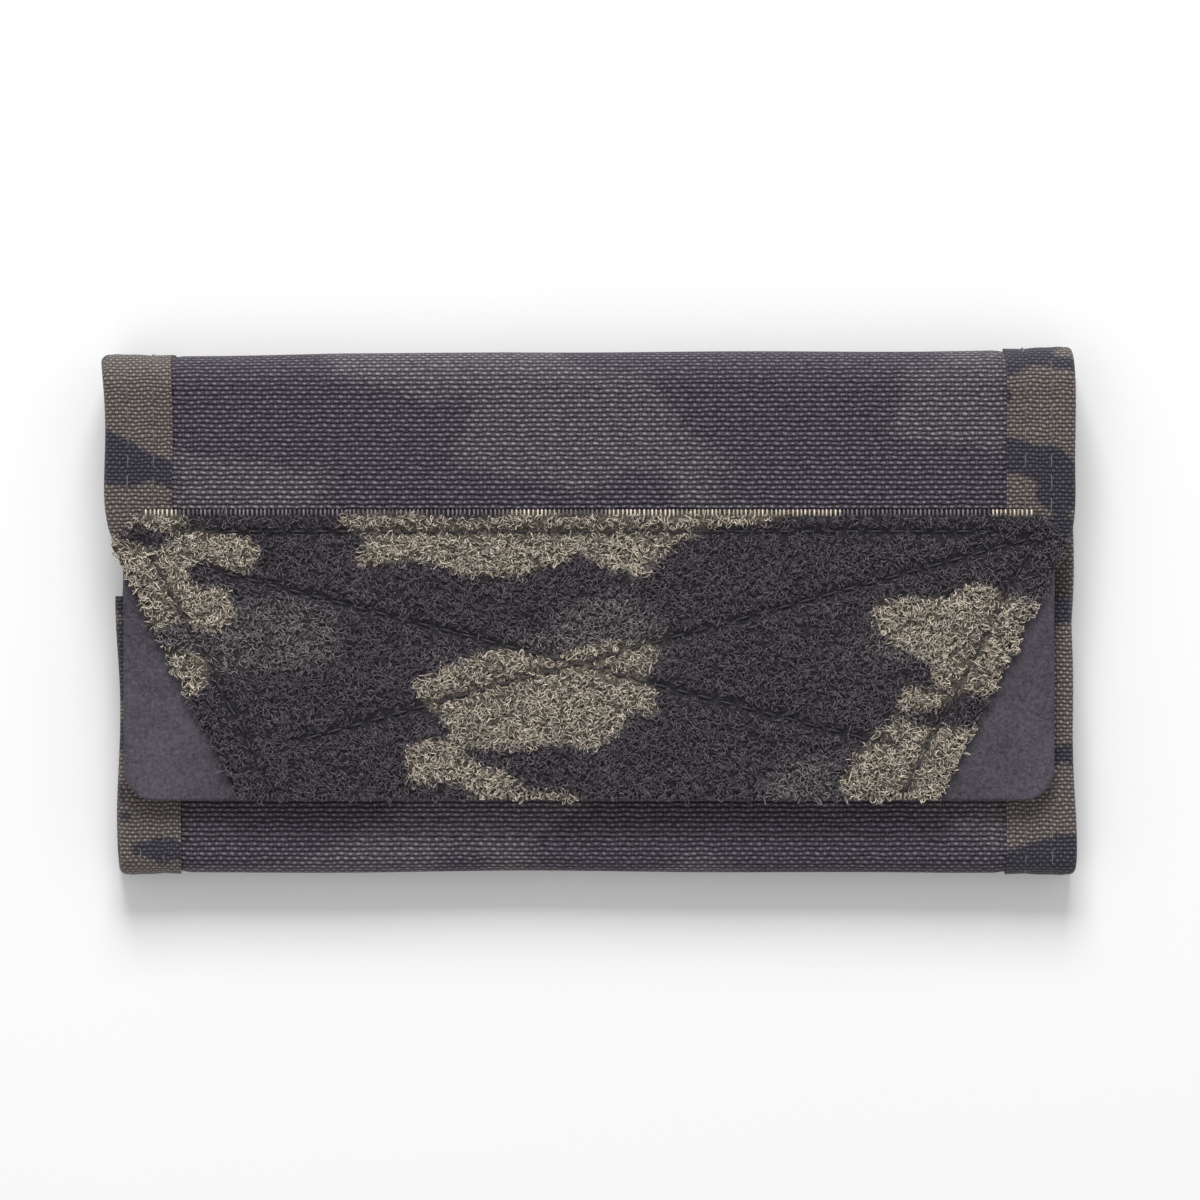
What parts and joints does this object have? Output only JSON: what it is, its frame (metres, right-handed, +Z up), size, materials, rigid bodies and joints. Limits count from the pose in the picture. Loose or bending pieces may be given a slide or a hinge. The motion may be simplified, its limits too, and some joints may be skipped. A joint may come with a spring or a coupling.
{
  "type": "trifold wallet",
  "caption": "Closed trifold wallet of woven nylon with tape-bound edges, a hook and loop flap closure, a bill compartment and card pockets.",
  "frame": {"origin": "middle of the rest face, which is the outside of the back panel, with the wallet closed and lying on its back", "axes": "+X along the creases towards the edge where notes and cards go in, +Y towards the top fold that joins the flap, +Z up out of the flap"},
  "size_m": [0.1286, 0.0694, 0.0134],
  "materials": {
    "shell_cloth": "coated plain-weave nylon, dark aubergine grey",
    "lining_cloth": "thin plain-weave nylon, near black",
    "pocket_cloth": "plain-weave nylon",
    "edge_tape": "ribbed woven tape, printed in taupe and charcoal",
    "thread": "bonded nylon sewing thread",
    "hook_backing": "smooth matte coated back",
    "loop_pile": "fuzzy loop pile, camouflage print",
    "clear_vinyl": "clear flexible vinyl"
  },
  "bodies": {
    "back": {"shell_back": "shell_cloth", "lining_back": "lining_cloth", "binding_left_back": "edge_tape", "binding_right_back": "edge_tape", "lining_binding_back": "edge_tape", "stitches_back": "thread", "card_pocket_rear": "pocket_cloth", "card_pocket_front": "pocket_cloth", "id_pocket": "pocket_cloth", "id_window": "clear_vinyl"},
    "top_spine": {"shell_top_spine": "shell_cloth", "lining_top_spine": "lining_cloth", "binding_left_top_spine": "edge_tape", "binding_right_top_spine": "edge_tape", "lining_binding_top_spine": "edge_tape", "stitches_top_spine": "thread"},
    "flap": {"shell_flap": "shell_cloth", "lining_flap": "lining_cloth", "binding_left_flap": "edge_tape", "binding_right_flap": "edge_tape", "lining_binding_flap": "edge_tape", "stitches_flap": "thread", "hook_panel": "hook_backing", "loop_patch": "loop_pile", "patch_stitches": "thread"},
    "bottom_spine": {"shell_bottom_spine": "shell_cloth", "lining_bottom_spine": "lining_cloth", "binding_left_bottom_spine": "edge_tape", "binding_right_bottom_spine": "edge_tape", "lining_binding_bottom_spine": "edge_tape", "stitches_bottom_spine": "thread"},
    "lower_panel": {"shell_lower": "shell_cloth", "lining_lower": "lining_cloth", "binding_left_lower": "edge_tape", "binding_right_lower": "edge_tape", "lining_binding_lower": "edge_tape", "end_binding_lower": "edge_tape", "stitches_lower": "thread", "stitch_row_lower": "thread", "loop_strip": "loop_pile"}
  },
  "joints": [
    {"name": "top_spine_fold", "type": "hinge", "parent": "back", "child": "top_spine", "pos_m": [0, 0.03355, 0.0012], "axis": [-1, 0, 0], "range_deg": [0, 90]},
    {"name": "flap_fold", "type": "hinge", "parent": "top_spine", "child": "flap", "pos_m": [0, 0.03355, 0.0122], "axis": [-1, 0, 0], "range_deg": [0, 90]},
    {"name": "bottom_spine_fold", "type": "hinge", "parent": "back", "child": "bottom_spine", "pos_m": [0, -0.03355, 0.0012], "axis": [1, 0, 0], "range_deg": [0, 80]},
    {"name": "lower_fold", "type": "hinge", "parent": "bottom_spine", "child": "lower_panel", "pos_m": [0, -0.03355, 0.006], "axis": [1, 0, 0], "range_deg": [0, 98]}
  ],
  "couplings": [
    {"joint": "flap_fold", "follows": "top_spine_fold", "ratio": 1},
    {"joint": "bottom_spine_fold", "follows": "top_spine_fold", "ratio": 0.8888},
    {"joint": "lower_fold", "follows": "top_spine_fold", "ratio": 1.0888}
  ]
}
